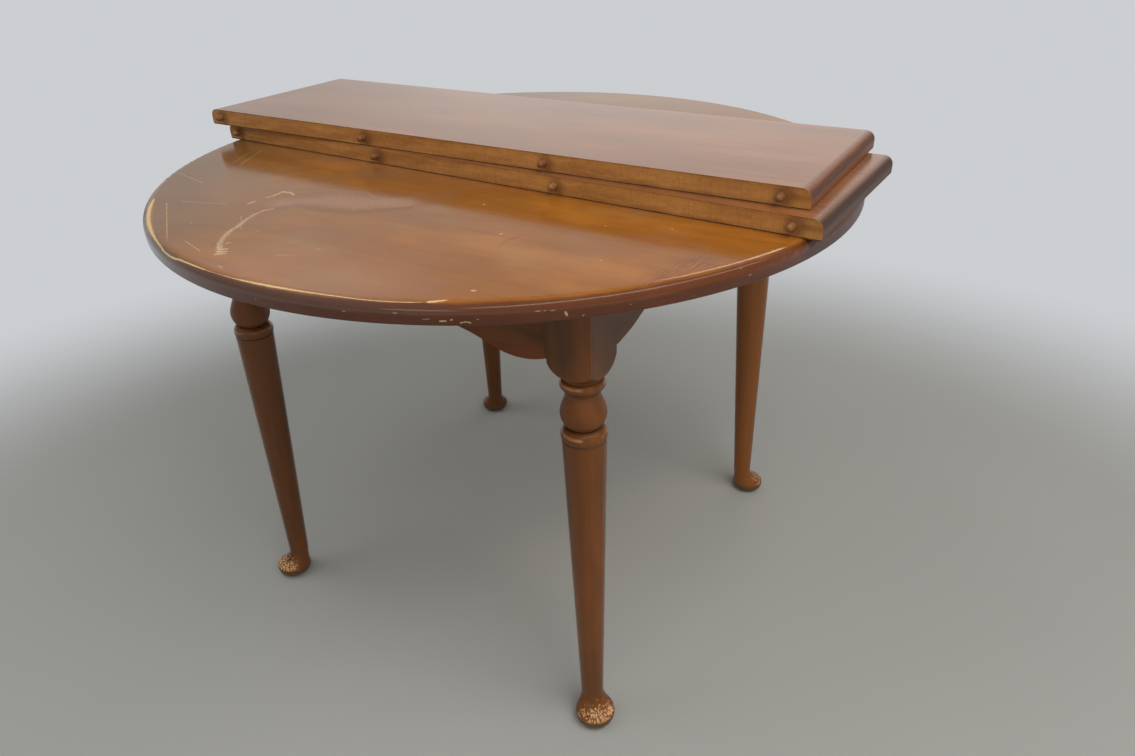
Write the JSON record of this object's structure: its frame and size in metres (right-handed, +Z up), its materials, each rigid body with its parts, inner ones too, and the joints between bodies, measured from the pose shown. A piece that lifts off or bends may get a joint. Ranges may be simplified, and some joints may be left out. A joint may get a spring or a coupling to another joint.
{
  "type": "round extension dining table",
  "caption": "Round dining table in stained maple whose two halves slide apart on wooden slides; loose drop-in leaves with dowel pins lie stacked on top.",
  "frame": {"origin": "on the floor, midway between the four feet, under the centre of the round top", "axes": "+X along the seam between the two half tops and along the stacked leaves, +Y towards the back half, +Z up; the halves part along Y"},
  "size_m": [1.1018, 1.0666, 0.7938],
  "materials": {
    "top_finish": "stained maple under a satin lacquer",
    "leaf_finish": "stained maple under a satin lacquer, long edges bare",
    "leg_finish": "walnut-brown stain under a satin lacquer",
    "apron_finish": "walnut-brown stain under a satin lacquer",
    "dowel": "bare birch dowel",
    "plain_hardwood": "planed, unfinished",
    "steel": "zinc plated"
  },
  "bodies": {
    "slide_core": {"left_middle_rail": "plain_hardwood", "right_middle_rail": "plain_hardwood", "left_slide_keys": "plain_hardwood", "right_slide_keys": "plain_hardwood", "middle_rail_tie": "plain_hardwood", "tie_screws": "steel"},
    "front_half": {"front_apron": "apron_finish", "front_catch_screws": "steel", "front_catch_sleeves": "steel", "front_corner_screws": "steel", "front_foot_glides": "steel", "front_glue_blocks": "plain_hardwood", "front_left_corner_block": "plain_hardwood", "front_left_leg": "leg_finish", "front_left_rail": "plain_hardwood", "front_left_side_apron": "apron_finish", "front_leg_bolts": "steel", "front_leg_nuts": "steel", "front_leg_washers": "steel", "front_rail_screws": "steel", "front_rail_stops": "plain_hardwood", "front_right_corner_block": "plain_hardwood", "front_right_leg": "leg_finish", "front_right_rail": "plain_hardwood", "front_right_side_apron": "apron_finish", "front_top": "top_finish"},
    "back_half": {"back_apron": "apron_finish", "back_catch_screws": "steel", "back_catch_tongues": "steel", "back_corner_screws": "steel", "back_foot_glides": "steel", "back_glue_blocks": "plain_hardwood", "back_left_corner_block": "plain_hardwood", "back_left_leg": "leg_finish", "back_left_rail": "plain_hardwood", "back_left_side_apron": "apron_finish", "back_leg_bolts": "steel", "back_leg_nuts": "steel", "back_leg_washers": "steel", "back_rail_screws": "steel", "back_rail_stops": "plain_hardwood", "back_right_corner_block": "plain_hardwood", "back_right_leg": "leg_finish", "back_right_rail": "plain_hardwood", "back_right_side_apron": "apron_finish", "back_seam_pins": "dowel", "back_top": "top_finish"},
    "lower_leaf": {"lower_leaf_board": "leaf_finish", "lower_leaf_pins": "dowel"},
    "upper_leaf": {"upper_leaf_board": "leaf_finish", "upper_leaf_pins": "dowel"}
  },
  "joints": [
    {"name": "front_slide", "type": "slide", "parent": "slide_core", "child": "front_half", "axis": [0, -1, 0], "range_m": [0, 0.32]},
    {"name": "back_slide", "type": "slide", "parent": "slide_core", "child": "back_half", "axis": [0, 1, 0], "range_m": [0, 0.32]},
    {"name": "lower_leaf_lift", "type": "slide", "parent": "back_half", "child": "lower_leaf", "axis": [0, 0, 1], "range_m": [0, 0.25]},
    {"name": "upper_leaf_lift", "type": "slide", "parent": "lower_leaf", "child": "upper_leaf", "axis": [0, 0, 1], "range_m": [0, 0.25]}
  ]
}
